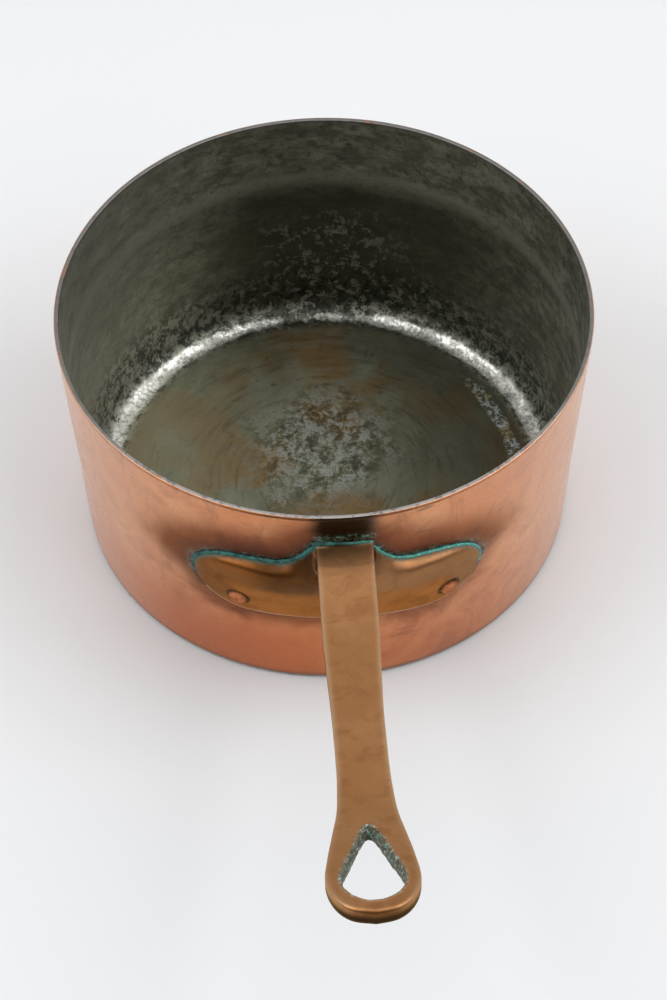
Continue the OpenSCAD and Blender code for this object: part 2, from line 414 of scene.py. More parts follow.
def handle_distance(x, y, z):
    f = handle_fields(x, y, z)
    body = soft_min(soft_min(f.strap, f.web, 3), f.bracket, 1.6)
    body = soft_max(body, -f.hole, 0.5)
    body = body + 0.1 + 0.1 * ripple(x, y, z, (13, 24, 41), 4)
    return np.maximum(body, -f.off_wall - 0.4)


def cast_handle():
    """The casting: its distance field sampled in two blocks, and the surface where it is zero."""
    step = 0.45
    band = 2.5
    reach = REACH + 3
    blocks = [
        ((-60, -124, PAN_H - 66), (60, -75, PAN_H - 10)),
        ((-24, -reach, PAN_H - 26), (20, -118, PAN_H + 33)),
    ]
    grid = openvdb.FloatGrid(band)
    for low, high in blocks:
        first = [int(math.floor(a / step)) for a in low]
        last = [int(math.ceil(b / step)) for b in high]
        axes = [np.arange(a, b + 1, dtype=np.float32) * step for a, b in zip(first, last)]
        x, y, z = np.meshgrid(*axes, indexing="ij")
        field = np.clip(handle_distance(x, y, z), -band, band).astype(np.float32)
        grid.copyFromArray(field, ijk=tuple(first))
    points, triangles, quads = grid.convertToPolygons(0.0, 0.0)
    points = points * step
    x, y, z = points.T
    f = handle_fields(x, y, z)
    u, v = leaned(x, z - PAN_H)
    top = upper_table(u, v)
    wing = smoothstep(0.4, 2.0, f.strap)
    on_crest = smoothstep(17, 9, top)
    loop_centre = np.exp(-(f.sx / 10) ** 4) * smoothstep(REACH - 14, REACH - 6, f.d)
    attributes = {
        "hole": np.exp(-(np.maximum(f.hole, 0) / 0.9) ** 2),
        "seam": np.exp(-(np.maximum(f.off_wall, 0) / 1.3) ** 2) * np.exp(-(top / 2.5) ** 2),
        "crease": np.exp(-((np.abs(f.strap) + np.abs(f.bracket)) / 2.2) ** 2),
        # painted highlight: pale along the casting's edges, left out at the middle of the loop's end
        "edge": np.exp(-(f.corner / 1.3) ** 2) * (f.strap < 1) * (1 - loop_centre),
        # painted reflection: a pale line along the bracket's lower edge
        "foot": np.exp(-((f.edge + 0.4) / 0.9) ** 2) * (top > 6) * (f.strap > 2),
        # painted shade and reflection: the strap's top darkens across its first 9 mm from the wall,
        # standing in for the dark wall reflected in it
        "root": (smoothstep(0.8, -0.8, f.d - RIM_R - 9.2 + 0.006 * f.sx ** 2)
                 * (np.abs(f.strap) < 0.6)),
        "wing": wing,
        "outer": smoothstep(REACH - 70, REACH - 35, f.d),
        # painted shade: the lower part of the strap's and loop's sides, darkened almost to black
        "under": smoothstep(0.62, -0.15, f.level) * (np.abs(f.strap) < 0.8),
        # painted shade: the middle of the loop's outer edge, darkened to break up the highlight there
        "tip": (np.exp(-(f.sx / 8.5) ** 4) * smoothstep(REACH - 7, REACH - 3.5, f.d)
                * smoothstep(0.95, 0.75, f.level)),
        "crest": on_crest * wing,
        "left": smoothstep(4, -6, x),
        # painted shade on the left wing's crest, next to the strap
        "shade": smoothstep(-38, -24, x) * smoothstep(3, -4, x) * on_crest * wing,
        # painted shade on the bracket right beside the strap
        "neck": np.exp(-(np.maximum(f.strap, 0) / 5.5) ** 2) * smoothstep(0.2, 0.9, f.strap),
    }
    faces = [list(face) for face in quads] + [list(face) for face in triangles]
    return mesh_object("handle_casting", points, faces, attributes)


# ---------------------------------------------------------------- copper shell and tin lining
PAN_SEGMENTS = 720
WALL_SWELL, WALL_DENT = 0.35, 0.05


def shell_waves(radius, height, turn):
    """Slight unevenness of the beaten wall, always inwards so that the size is never passed."""
    x, y = RIM_R * np.sin(turn), -RIM_R * np.cos(turn)
    up = smoothstep(8, 40, height)
    swell = 0.5 + 0.5 * ripple(x, y, height, (70, 110), 11)
    dents = 0.5 + 0.5 * ripple(x, y, height, (14, 22), 12)
    return -up * (WALL_SWELL * swell + WALL_DENT * dents)


def copper_shell():
    outer = cup(0, 0, CORNER_R, 1.3, PAN_H - 0.35)
    inner = cup(WALL_T, FLOOR_T, FILLET_R + TIN_T, 6, PAN_H - 0.2)
    lip = arc(outer[-1][0] - 0.35, PAN_H - 0.4, 0.35, 0, 90, 5)
    profile = outer + lip + inner[::-1]
    radius, height, turn, faces = lathe(profile, PAN_SEGMENTS)
    radius = radius + shell_waves(radius, height, turn)
    points = turned_points(radius, height, turn, 0, FLOOR_T)
    x, h = front_view(points)
    front = (points[:, 1] < 0) * 1.0
    u, v = leaned(x, h)
    away = np.where(front > 0, outline_distance(BRACKET, u, v), 99)
    upper = np.where(front > 0, curve_distance(UPPER_EDGE, np.abs(u), v), 99)
    above = smoothstep(-24, -6, h) * np.exp(-((x - 0.5) / 14.0) ** 2)
    outer_rings = (np.arange(len(profile) - 2) < len(outer) + 4) * 1.0
    outside = np.append(np.repeat(outer_rings, PAN_SEGMENTS), [1, 0])
    nearness = np.maximum(away, 0)
    to_left = smoothstep(5, -10, x)
    # the reach of the painted shade round the bracket
    round_bracket = np.exp(-(nearness / 19.0) ** 2) * smoothstep(-62, -34, h)
    low_left = np.exp(-((x + 58) / 13) ** 2 - ((h + 70) / 20) ** 2)
    above_right = np.exp(-((x - 38) / 16) ** 2 - ((h + 20) / 11) ** 2)
    attributes = {
        "halo": outside * np.exp(-(nearness / 11.0) ** 2) * (0.85 + 0.3 * to_left),
        "near": outside * np.exp(-(nearness / 2.6) ** 2),
        "upper": outside * np.exp(-(upper / 2.2) ** 2),
        "stain": outside * front * above,
        # painted sheen: paler towards the left and right sides, standing in for the bright floor
        # reflected at a grazing angle
        "side": outside * smoothstep(58, 94, np.where(x > 0, x + 8, -x)),
        # painted shade round the bracket, stronger on the left, plus darker patches low on the left
        # and upper right
        "bracket_shade_and_patches": outside * front * (round_bracket * (1.0 + 0.25 * to_left)
                                   + 0.45 * low_left + 0.16 * above_right),
        "root": outside * front * smoothstep(-17.5, -15, h) * smoothstep(-8.5, -12, h)
        * smoothstep(13, 9, np.abs(x)),
    }
    return mesh_object("copper_shell", points, faces, attributes)


STRAY_R = 76.0


def tin_skin():
    inner = cup(WALL_T + TIN_T, FLOOR_T + TIN_T, FILLET_R, 1.3, PAN_H - 0.35)
    outer = cup(WALL_T, FLOOR_T, FILLET_R + TIN_T, 8, PAN_H - 0.2)
    rim_in = inner[-1][0]
    lip = (arc(rim_in + 0.35, PAN_H - 0.35, 0.35, 180, 90, 5)[1:]
           + [[RIM_R - 0.75, PAN_H]] + arc(RIM_R - 0.5, PAN_H - 0.4, 0.4, 90, 15, 5)
           + [[RIM_R - 0.5, PAN_H - 0.5], [RIM_R - 1.0, PAN_H - 0.3]])
    profile = inner + lip + outer[::-1]
    radius, height, turn, faces = lathe(profile, PAN_SEGMENTS)
    inside = (np.arange(len(profile) - 2) < len(inner) + 4)[:, None]
    waves = shell_waves(radius, height, turn)
    x, y = radius * np.sin(turn), -radius * np.cos(turn)
    floor = smoothstep(BASE_R - 6, BASE_R - 22, radius) * (height < FLOOR_T + 3)
    sag = floor * (0.3 * ripple(x, y, 0 * x, (38, 70), 21) + 0.05 * ripple(x, y, 0 * x, (9, 15), 22))
    dents = smoothstep(10, 22, height) * 0.09 * ripple(x, y, height, (12, 19, 30), 23)
    radius = radius + waves + inside * dents
    height = height + inside * np.maximum(sag, -0.2)
    faces = [f[::-1] for f in faces]
    points = turned_points(radius, height, turn, inner[0][1], FLOOR_T)
    r, z = np.hypot(points[:, 0], points[:, 1]), points[:, 2]
    middle = BASE_R - WALL_T - FILLET_R * 0.55
    attributes = {
        # the bright bottom corner: polished tin with a painted highlight, weaker at the back middle
        "ring": np.exp(-((r - middle + 1.0) / 3.5) ** 2) * smoothstep(9, 5, z)
        * (1 - 0.5 * np.exp(-(points[:, 0] / 30) ** 2)),
        "floor": smoothstep(BASE_R - 9, BASE_R - 14, r) * (z < 6),
        "stray": np.exp(-((r - STRAY_R) / 4.0) ** 2 - ((points[:, 0] - 70) / 16) ** 2)
        * (points[:, 1] > 0) * (z < 6),
        "rim": smoothstep(PAN_H - 0.9, PAN_H - 0.3, z),
    }
    return mesh_object("tin_lining_skin", points, faces, attributes)


# ---------------------------------------------------------------- rivets
def rivet(name, angle, drop, seed):
    """A hand-set rivet: shank, domed outer head and flat inner head with hammer marks."""
    seat, outward = rivet_frame(angle, drop)
    z = seat[2]
    seat_at = math.hypot(seat[0], seat[1])
    inner_at = wall_r(z) - (WALL_T + TIN_T) / math.cos(TAPER)
    bury = 0.8
    section = [[0, inner_at - INNER_HEAD_H]]
    section += [[INNER_HEAD_D / 2 * f, inner_at - INNER_HEAD_H + 0.25 * f ** 4]
                for f in (0.25, 0.5, 0.75, 0.9)]
    section += [[INNER_HEAD_D / 2, inner_at - INNER_HEAD_H * 0.55],
                [INNER_HEAD_D / 2 - 0.15, inner_at - 0.05],
                [INNER_HEAD_D / 2 - 0.6, inner_at + 0.35],
                [SHANK_D / 2, inner_at + 0.35], [SHANK_D / 2, seat_at - bury],
                [HEAD_D / 2 - 0.4, seat_at - bury], [HEAD_D / 2 - 0.05, seat_at]]
    section += [[HEAD_D / 2 * f, seat_at + (HEAD_H - 0.3) * (1 - f * f) + 0.3]
                for f in (0.995, 0.97, 0.93, 0.86, 0.76, 0.64, 0.5, 0.34, 0.17)]
    section += [[0, seat_at + HEAD_H]]
    radius, height, turn, faces = lathe(section, 64)
    wobble = 1 + 0.03 * np.sin(2 * turn + seed) + 0.015 * np.sin(3 * turn + 2 * seed)
    radius = radius * np.where(radius > SHANK_D / 2 + 0.1, wobble, 1)
    px, py = radius * np.sin(turn), radius * np.cos(turn)
    marks = ripple(px, py, 0 * px, (3.5, 5), 30 + seed)
    top = smoothstep(seat_at + 0.2, seat_at + 0.9, height)
    height = height + top * (0.14 * marks - 0.1)
    ring = np.stack([px, py, height], -1).reshape(-1, 3)
    local = np.vstack([ring, [[0, 0, section[0][1]], [0, 0, section[-1][1] - 0.1]]])
    side = np.array([math.cos(angle), math.sin(angle), 0])
    points = (local[:, :1] * side + local[:, 1:2] * np.array([0, 0, 1.0])
              + local[:, 2:] * outward + [0, 0, z])
    rim = np.exp(-((np.hypot(local[:, 0], local[:, 1]) - HEAD_D / 2) / 0.75) ** 2)
    return mesh_object(name + "_head", points, faces, {"rim": rim * (local[:, 2] > seat_at - 0.6),
                                                         "inner": local[:, 2] < inner_at + 0.5})


# ---------------------------------------------------------------- verdigris
def verdigris_bead():
    """A crusty bead in the corner between the wall and the bracket's upper edge."""
    half = WING[TIP_AT - 5:-1]
    top_left = half * [-1, 1]
    over = [[x, -STRAP_DROP + 0.4] for x in np.linspace(-ROOT_W / 2 - 0.3, ROOT_W / 2 + 0.3, 14)]
    route = np.vstack([top_left, over, half[::-1]])
    gaps = np.hypot(*np.diff(route, axis=0).T)
    s = np.concatenate([[0], np.cumsum(gaps)])
    t = np.arange(0, s[-1], 0.35)
    u, v = np.interp(t, s, route[:, 0]), np.interp(t, s, route[:, 1])
    x, h = unleaned(u, v)
    z = PAN_H + h
    r = wall_r(z) + 0.15
    y = -np.sqrt(r * r - x * x)
    centre = np.stack([x, y, z], 1)
    way = np.gradient(centre, axis=0)
    way /= np.linalg.norm(way, axis=1)[:, None]
    out = np.stack([x, y, 0 * x], 1)
    out /= np.linalg.norm(out, axis=1)[:, None]
    across = np.cross(way, out)
    ends = smoothstep(0, 9, t) * smoothstep(0, 9, t[-1] - t)
    left = smoothstep(6, -12, x)
    lumps = ripple(t, 0 * t, 0 * t, (2.3, 4.1, 9), 41)
    wide = (0.56 + 0.4 * left + 0.2 * lumps) * (0.15 + 0.85 * ends)
    tall = (0.5 + 0.12 * left + 0.15 * lumps) * (0.15 + 0.85 * ends)
    sides = 12
    points, faces = [], []
    for k in range(sides):
        a = 2 * math.pi * k / sides
        grain = 1 + 0.22 * ripple(t, t * 0 + 3 * math.cos(a), t * 0 + 3 * math.sin(a), (1.1, 1.9), 42)
        points.append(centre + across * (math.cos(a) * wide * grain)[:, None]
                      + out * (math.sin(a) * tall * grain)[:, None])
    points = np.stack(points, 1)
    n = len(t)
    flat = points.reshape(-1, 3)
    for i in range(n - 1):
        for k in range(sides):
            q = (k + 1) % sides
            faces.append([i * sides + k, (i + 1) * sides + k, (i + 1) * sides + q, i * sides + q])
    faces.append(list(range(sides)))
    faces.append(list(range((n - 1) * sides, n * sides))[::-1])
    dull = np.repeat(np.clip(left + np.exp(-(x / 11) ** 2) * 0.8, 0, 1), sides)
    return mesh_object("verdigris_seam", flat, faces, {"dull": dull})


# ---------------------------------------------------------------- material kit
class Surface:
    """A material with short ways to add the nodes it needs. Lengths are in millimetres."""

    def __init__(self, name):
        self.material = bpy.data.materials.new(name)
        self.material.use_nodes = True
        self.tree = self.material.node_tree
        self.shader = self.tree.nodes["Principled BSDF"]
        self.place = self.add("ShaderNodeTexCoord").outputs["Object"]

    def add(self, kind, **settings):
        node = self.tree.nodes.new(kind)
        for key, value in settings.items():
            setattr(node, key, value)
        return node

    def put(self, socket, value):
        if isinstance(value, bpy.types.NodeSocket):
            self.tree.links.new(value, socket)
        else:
            socket.default_value = value

    def stretched(self, x, y, z):
        node = self.add("ShaderNodeMapping")
        self.put(node.inputs["Vector"], self.place)
        node.inputs["Scale"].default_value = (x, y, z)
        return node.outputs["Vector"]

    def noise(self, size, detail=3.0, rough=0.55, twist=0.0, where=None):
        node = self.add("ShaderNodeTexNoise")
        self.put(node.inputs["Vector"], where or self.place)
        node.inputs["Scale"].default_value = 1 / (size * MM)
        node.inputs["Detail"].default_value = detail
        node.inputs["Roughness"].default_value = rough
        node.inputs["Distortion"].default_value = twist
        return node.outputs["Fac"]

    def cells(self, size):
        node = self.add("ShaderNodeTexVoronoi", feature="F1")
        self.put(node.inputs["Vector"], self.place)
        node.inputs["Scale"].default_value = 1 / (size * MM)
        return node.outputs["Distance"]

    def attribute(self, name):
        return self.add("ShaderNodeAttribute", attribute_name=name).outputs["Fac"]

    def math(self, kind, a, b=0.0):
        node = self.add("ShaderNodeMath", operation=kind)
        self.put(node.inputs[0], a)
        self.put(node.inputs[1], b)
        return node.outputs[0]

    def times(self, a, b):
        return self.math("MULTIPLY", a, b)

    def plus(self, a, b):
        return self.math("ADD", a, b)

    def less(self, a, b):
        return self.math("SUBTRACT", a, b)

    def most(self, a, b):
        return self.math("MAXIMUM", a, b)

    def ragged(self, value, noise, amount):
        """The value with its edge broken up by a noise, which is centred on zero first."""
        return self.plus(value, self.times(self.less(noise, 0.5), amount))

    def span(self, value, low, high, to_low=0.0, to_high=1.0):
        node = self.add("ShaderNodeMapRange", interpolation_type="SMOOTHSTEP")
        self.put(node.inputs["Value"], value)
        for key, number in (("From Min", low), ("From Max", high),
                            ("To Min", to_low), ("To Max", to_high)):
            node.inputs[key].default_value = number
        return node.outputs["Result"]

    def blend(self, factor, a, b, mode="MIX"):
        node = self.add("ShaderNodeMix", data_type="RGBA", blend_type=mode)
        node.clamp_factor = True
        self.put(node.inputs[0], factor)
        for socket, value in ((node.inputs[6], a), (node.inputs[7], b)):
            self.put(socket, value if isinstance(value, bpy.types.NodeSocket) else (*value, 1.0))
        return node.outputs[2]

    def layer(self, color, where, strength, tone):
        """Lays a tone over the colour where the mask says, at the given strength."""
        return self.blend(self.times(where, strength), color, tone)

    def bump(self, height, depth, under=None):
        node = self.add("ShaderNodeBump")
        self.put(node.inputs["Height"], height)
        node.inputs["Distance"].default_value = depth * MM
        node.inputs["Strength"].default_value = 1.0
        if under is not None:
            self.put(node.inputs["Normal"], under)
        return node.outputs["Normal"]

    def finish(self, obj, **inputs):
        for key, value in inputs.items():
            self.put(self.shader.inputs[key.replace("_", " ")], value)
        obj.data.materials.clear()
        obj.data.materials.append(self.material)


# Among these, the warm, flank and foot tones are painted light: a warmer reflection low on the wall,
# paler sheen at the sides and shade along the bottom; the tone laid round the bracket is partly
# painted shade.
COPPER = SimpleNamespace(
    clean=(0.66, 0.25, 0.095), pale=(0.75, 0.345, 0.155), worn=(0.50, 0.165, 0.06),
    brown=(0.30, 0.115, 0.055), drag=(0.20, 0.075, 0.045), speck=(0.09, 0.035, 0.025),
    warm=(0.56, 0.145, 0.035), flank=(0.86, 0.55, 0.39), foot=(0.13, 0.04, 0.02),
    bracket_shade_and_patches=(0.215, 0.062, 0.027), halo=(0.125, 0.045, 0.028), near=(0.05, 0.03, 0.03),
    stain=(0.013, 0.012, 0.007), crust=(0.03, 0.20, 0.17), pale_crust=(0.26, 0.55, 0.48),
    gleam=(0.93, 0.68, 0.50, 1.0),
)


def copper_surface(obj):
    """Worn copper: smears, drags, specks and stains round the bracket, with painted light: a warmer
    reflection on the lower wall, paler sheen at the sides, and shade along the bottom and round the
    bracket.
    """
    s = Surface("old_copper")
    cloud, patch, fine = s.noise(55, 4, 0.6, 0.4), s.noise(17, 5, 0.6, 0.8), s.noise(4, 4, 0.6)
    smear = s.noise(13, 5, 0.6, 1.0, s.stretched(1, 1, 0.35))
    lines = s.noise(0.55, 3, 0.6, 0.0, s.stretched(0.03, 0.03, 1))
    color = s.blend(s.span(cloud, 0.35, 0.65), COPPER.clean, COPPER.pale)
    color = s.layer(color, s.span(patch, 0.42, 0.72), 0.8, COPPER.worn)
    color = s.layer(color, s.span(smear, 0.5, 0.72), 0.7, COPPER.brown)

    slanted = s.add("ShaderNodeMapping")
    s.put(slanted.inputs["Vector"], s.place)
    slanted.inputs["Rotation"].default_value = (0.0, 0.5, 0.0)
    slanted.inputs["Scale"].default_value = (0.06, 1.0, 1.0)
    drags = s.times(s.span(s.noise(4.5, 2, 0.5, 0.0, slanted.outputs[0]), 0.58, 0.74),
                    s.span(s.noise(30, 3), 0.48, 0.62))
    color = s.layer(color, drags, 0.75, COPPER.drag)
    specks = s.times(s.span(s.cells(8.5), 0.09, 0.04), s.span(s.noise(21, 2), 0.5, 0.6))
    color = s.layer(color, specks, 0.85, COPPER.speck)

    place = s.add("ShaderNodeSeparateXYZ")
    s.put(place.inputs[0], s.place)
    x, _, z = place.outputs
    # painted reflection: the lower wall turns a deeper, warmer orange, standing in for the shaded
    # floor it reflects near the base, at half strength on the right
    warm = s.span(s.ragged(z, cloud, 0.04), 0.06, 0.012)
    leftward = s.span(x, 0.03, -0.045, 0.5, 1.0)
    color = s.blend(s.times(warm, leftward), color, COPPER.warm)
    # painted sheen towards the sides
    color = s.layer(color, s.attribute("side"), 0.5, COPPER.flank)
    # painted shade: darker along the bottom few millimetres of the wall, standing in for the contact
    # shadow at the base
    color = s.layer(color, s.span(z, 0.0045, 0.0012), 0.75, COPPER.foot)

    halo = s.span(s.ragged(s.attribute("halo"), patch, 1.1), 0.25, 1.15)
    # painted shade round the bracket, with darker patches
    bracket_shade_and_patches = s.span(s.ragged(s.attribute("bracket_shade_and_patches"), cloud, 0.7), 0.2, 1.1)
    near = s.span(s.ragged(s.attribute("near"), fine, 0.8), 0.35, 1.0)
    stain = s.span(s.ragged(s.attribute("stain"), patch, 0.5), 0.25, 0.75)
    color = s.layer(color, bracket_shade_and_patches, 0.95, COPPER.bracket_shade_and_patches)
    color = s.layer(color, halo, 0.75, COPPER.halo)
    color = s.layer(color, near, 0.85, COPPER.near)
    color = s.layer(color, stain, 0.96, COPPER.stain)

    teal = s.times(s.most(s.attribute("upper"), s.attribute("root")),
                   s.span(s.noise(1.9, 5, 0.75), 0.42, 0.62))
    crust = s.blend(s.span(s.noise(2.6, 4, 0.7), 0.45, 0.62), COPPER.crust, COPPER.pale_crust)
    color = s.layer(color, teal, 0.8, crust)

    dull = s.most(s.most(s.times(halo, 0.5), stain), teal)
    rough = s.plus(s.span(patch, 0.3, 0.75, 0.26, 0.40), s.times(dull, 0.22))
    metal = s.less(1.0, s.times(teal, 0.7))
    relief = s.bump(lines, 0.006, s.bump(fine, 0.02, s.bump(patch, 0.10)))
    facing = s.add("ShaderNodeLayerWeight").outputs["Facing"]
    bare = s.less(1.0, s.times(s.most(halo, bracket_shade_and_patches), 0.8))
    s.finish(obj, Base_Color=color, Roughness=rough, Metallic=metal, Normal=relief,
             Coat_Weight=s.times(s.span(facing, 0.34, 0.56, 0.12, 1.0), bare),
             Coat_Roughness=0.26, Specular_Tint=COPPER.gleam)


# Among these, the back and floor_right tones are painted shade; the left, floor_left and lip_front
# tones are painted light; the ring tone is polished tin with a painted highlight.
TIN = SimpleNamespace(
    wall=(0.25, 0.255, 0.20), wall_pale=(0.40, 0.405, 0.34), blotch=(0.13, 0.135, 0.10),
    wiped=(0.60, 0.60, 0.51), yellowed=(0.24, 0.22, 0.14), speck=(0.09, 0.095, 0.07),
    tide=(0.62, 0.62, 0.54), back=(0.06, 0.06, 0.043), left=(0.55, 0.55, 0.47),
    black=(0.028, 0.028, 0.022), flake=(0.50, 0.50, 0.43),
    floor=(0.15, 0.148, 0.092), floor_pale=(0.225, 0.222, 0.155), rust=(0.21, 0.125, 0.042),
    streak=(0.20, 0.20, 0.165), dark_streak=(0.05, 0.05, 0.038), rubbed_and_highlight=(0.42, 0.43, 0.39),
    dent=(0.04, 0.04, 0.03), pit=(0.035, 0.035, 0.028), floor_left=(0.32, 0.33, 0.25),
    floor_right=(0.05, 0.048, 0.033), ring=(0.86, 0.85, 0.80), stray_warm=(0.40, 0.33, 0.20),
    stray_cool=(0.50, 0.55, 0.60), lip=(0.24, 0.23, 0.21), lip_front=(0.46, 0.43, 0.40),
    lip_copper=(0.40, 0.215, 0.14), lip_dark=(0.18, 0.17, 0.16),
)


def tin_surface(obj):
    """Old wiped tin: a streaky wall, a floor worn in the middle, and a bright bottom corner that is
    partly a painted highlight. Painted shade darkens the back of the wall and the right of the floor;
    painted light brightens the left of the wall and floor and the front of the rim.
    """
    s = Surface("wiped_tin")
    across = s.add("ShaderNodeSeparateXYZ")
    s.put(across.inputs[0], s.place)
    x, y, z = across.outputs
    radius = s.math("SQRT", s.plus(s.times(x, x), s.times(y, y)))
    swirl = s.add("ShaderNodeCombineXYZ")
    for socket, value in zip(swirl.inputs, (s.times(x, 0.12), s.times(y, 0.12), radius)):
        s.put(socket, value)
    cloud, patch = s.noise(48, 4, 0.6, 0.3), s.noise(15, 6, 0.65, 0.25)
    grit, speck = s.noise(1.5, 4, 0.7), s.noise(4.2, 6, 0.75, 0.15)
    wipe = s.noise(5, 6, 0.7, 0.15, s.stretched(0.25, 0.25, 1))
    turned = s.noise(2.6, 5, 0.7, 0.2, swirl.outputs[0])
    blotch = s.noise(6, 6, 0.75, 0.1, s.stretched(0.5, 0.5, 1))

    wall = s.blend(s.span(wipe, 0.3, 0.7), TIN.wall, TIN.wall_pale)
    wall = s.layer(wall, s.span(blotch, 0.50, 0.56), 0.6, TIN.blotch)
    wall = s.layer(wall, s.span(blotch, 0.46, 0.38), 0.5, TIN.wiped)
    wall = s.layer(wall, s.span(cloud, 0.5, 0.68), 0.4, TIN.yellowed)
    wall = s.layer(wall, s.span(speck, 0.53, 0.60), 0.55, TIN.speck)
    tide = s.times(s.span(z, 0.068, 0.0735), s.span(z, 0.079, 0.075))
    wall = s.layer(wall, s.times(tide, s.span(blotch, 0.35, 0.6)), 0.55, TIN.tide)
    # painted shade: darkens the back of the inner wall from the middle rightwards, below its upper
    # part
    back = s.times(s.span(y, 0.02, 0.085),
                   s.times(s.span(z, 0.080, 0.062), s.span(x, -0.075, -0.01)))
    wall = s.layer(wall, back, 0.85, TIN.back)
    # painted light: the left of the inner wall is paler, where the light from the right falls on it
    wall = s.layer(wall, s.span(x, -0.02, -0.09), 0.45, TIN.left)
    low = s.span(z, 0.036, 0.016)
    flake_zone = s.times(s.times(s.span(x, -0.035, 0.0), s.span(x, 0.055, 0.015)),
                         s.times(s.span(z, 0.066, 0.045), s.span(y, 0.05, 0.08)))
    flakes = s.times(s.span(speck, 0.53, 0.58), s.most(flake_zone, s.times(low, 0.7)))
    black = s.times(s.span(s.noise(3.4, 6, 0.75, 0.5), 0.46, 0.54), low)
    wall = s.layer(wall, black, 0.85, TIN.black)
    wall = s.layer(wall, flakes, 0.55, TIN.flake)

    base = s.blend(s.span(patch, 0.35, 0.65), TIN.floor, TIN.floor_pale)
    base = s.layer(base, s.span(cloud, 0.46, 0.58), 0.8, TIN.rust)
    base = s.layer(base, s.span(turned, 0.5, 0.62), 0.35, TIN.streak)
    base = s.layer(base, s.span(turned, 0.48, 0.36), 0.45, TIN.dark_streak)
    off = s.plus(y, -0.018)
    from_worn = s.math("SQRT", s.plus(s.times(x, x), s.times(off, off)))
    worn = s.span(s.ragged(from_worn, patch, 0.05), 0.040, 0.012)
    base = s.layer(base, s.times(worn, s.span(speck, 0.50, 0.56)), 0.7, TIN.rubbed_and_highlight)
    base = s.layer(base, s.times(worn, s.span(speck, 0.48, 0.42)), 0.65, TIN.dent)
    base = s.layer(base, s.span(speck, 0.58, 0.66), 0.5, TIN.pit)
    # painted light and shade: the floor is paler on the left and darker on the right
    base = s.layer(base, s.span(x, -0.01, -0.075), 0.4, TIN.floor_left)
    base = s.layer(base, s.span(x, 0.0, 0.06), 0.72, TIN.floor_right)
    color = s.blend(s.attribute("floor"), wall, base)

    # the bright corner: partly polished tin, and partly a painted highlight whose near-white colour
    # stands in for the lamps' reflection
    mottle = s.span(s.plus(grit, s.times(speck, 0.8)), 0.80, 1.0)
    uneven = s.times(s.less(s.plus(s.times(speck, 0.5), s.times(patch, 0.5)), 0.5), 1.7)
    bright = s.times(s.span(s.plus(s.attribute("ring"), uneven), 0.40, 0.75),
                     s.less(1.0, s.times(mottle, 0.7)))
    bright = s.times(bright, s.span(s.noise(11, 3, 0.6), 0.40, 0.54, 0.5, 1.0))
    color = s.blend(bright, color, TIN.ring)
    stray = s.times(s.span(s.plus(s.attribute("stray"), uneven), 0.45, 0.7),
                    s.span(grit, 0.45, 0.6))
    tint = s.blend(s.span(s.noise(8, 3), 0.42, 0.58), TIN.stray_warm, TIN.stray_cool)
    color = s.layer(color, stray, 0.8, tint)

    # painted highlight: the rim is paler towards the front
    lip = s.blend(s.span(y, -0.045, -0.085), TIN.lip, TIN.lip_front)
    lip = s.layer(lip, s.span(s.noise(9, 4, 0.7), 0.54, 0.62), 0.7, TIN.lip_copper)
    lip = s.layer(lip, s.span(s.noise(3, 4, 0.7), 0.52, 0.6), 0.7, TIN.lip_dark)
    color = s.blend(s.attribute("rim"), color, lip)
    rough = s.less(s.span(wipe, 0.3, 0.7, 0.56, 0.42), s.times(bright, 0.2))
    relief = s.bump(grit, 0.03, s.bump(wipe, 0.07, s.bump(patch, 0.15)))
    s.finish(obj, Base_Color=color, Roughness=rough, Metallic=0.9, Normal=relief)


# Among these, the pale tones for the edges, the bracket's lower edge and the right crest are painted
# highlights, and the dark root and under tones are painted shade.
BRASS = SimpleNamespace(
    base=(0.52, 0.245, 0.095), pale=(0.60, 0.295, 0.125), patch=(0.38, 0.165, 0.06),
    pit=(0.12, 0.06, 0.03), rubbed_and_highlight=(0.50, 0.36, 0.22), edge=(0.80, 0.58, 0.38),
    foot=(0.95, 0.74, 0.60), ring=(0.03, 0.02, 0.012), root=(0.18, 0.11, 0.06),
    outer=(0.25, 0.12, 0.05), under=(0.035, 0.018, 0.008), crease=(0.09, 0.055, 0.035),
    crust=(0.13, 0.14, 0.105), crust_teal=(0.09, 0.33, 0.28), crust_dark=(0.05, 0.055, 0.04),
    crust_pale=(0.52, 0.57, 0.51), seam=(0.05, 0.25, 0.22), gleam=(0.85, 0.74, 0.56, 1.0),
)
# these multiply the brass beneath, and darken it: wing and crest are patina; shade_right, shade_left,
# neck and tip are painted shade
PATINA_AND_SHADE = SimpleNamespace(
    wing=(0.76, 0.60, 0.40), crest=(0.58, 0.53, 0.43), shade_right=(0.62, 0.60, 0.58),
    shade_left=(0.48, 0.50, 0.49), neck=(0.55, 0.50, 0.45), tip=(0.50, 0.46, 0.40),
)


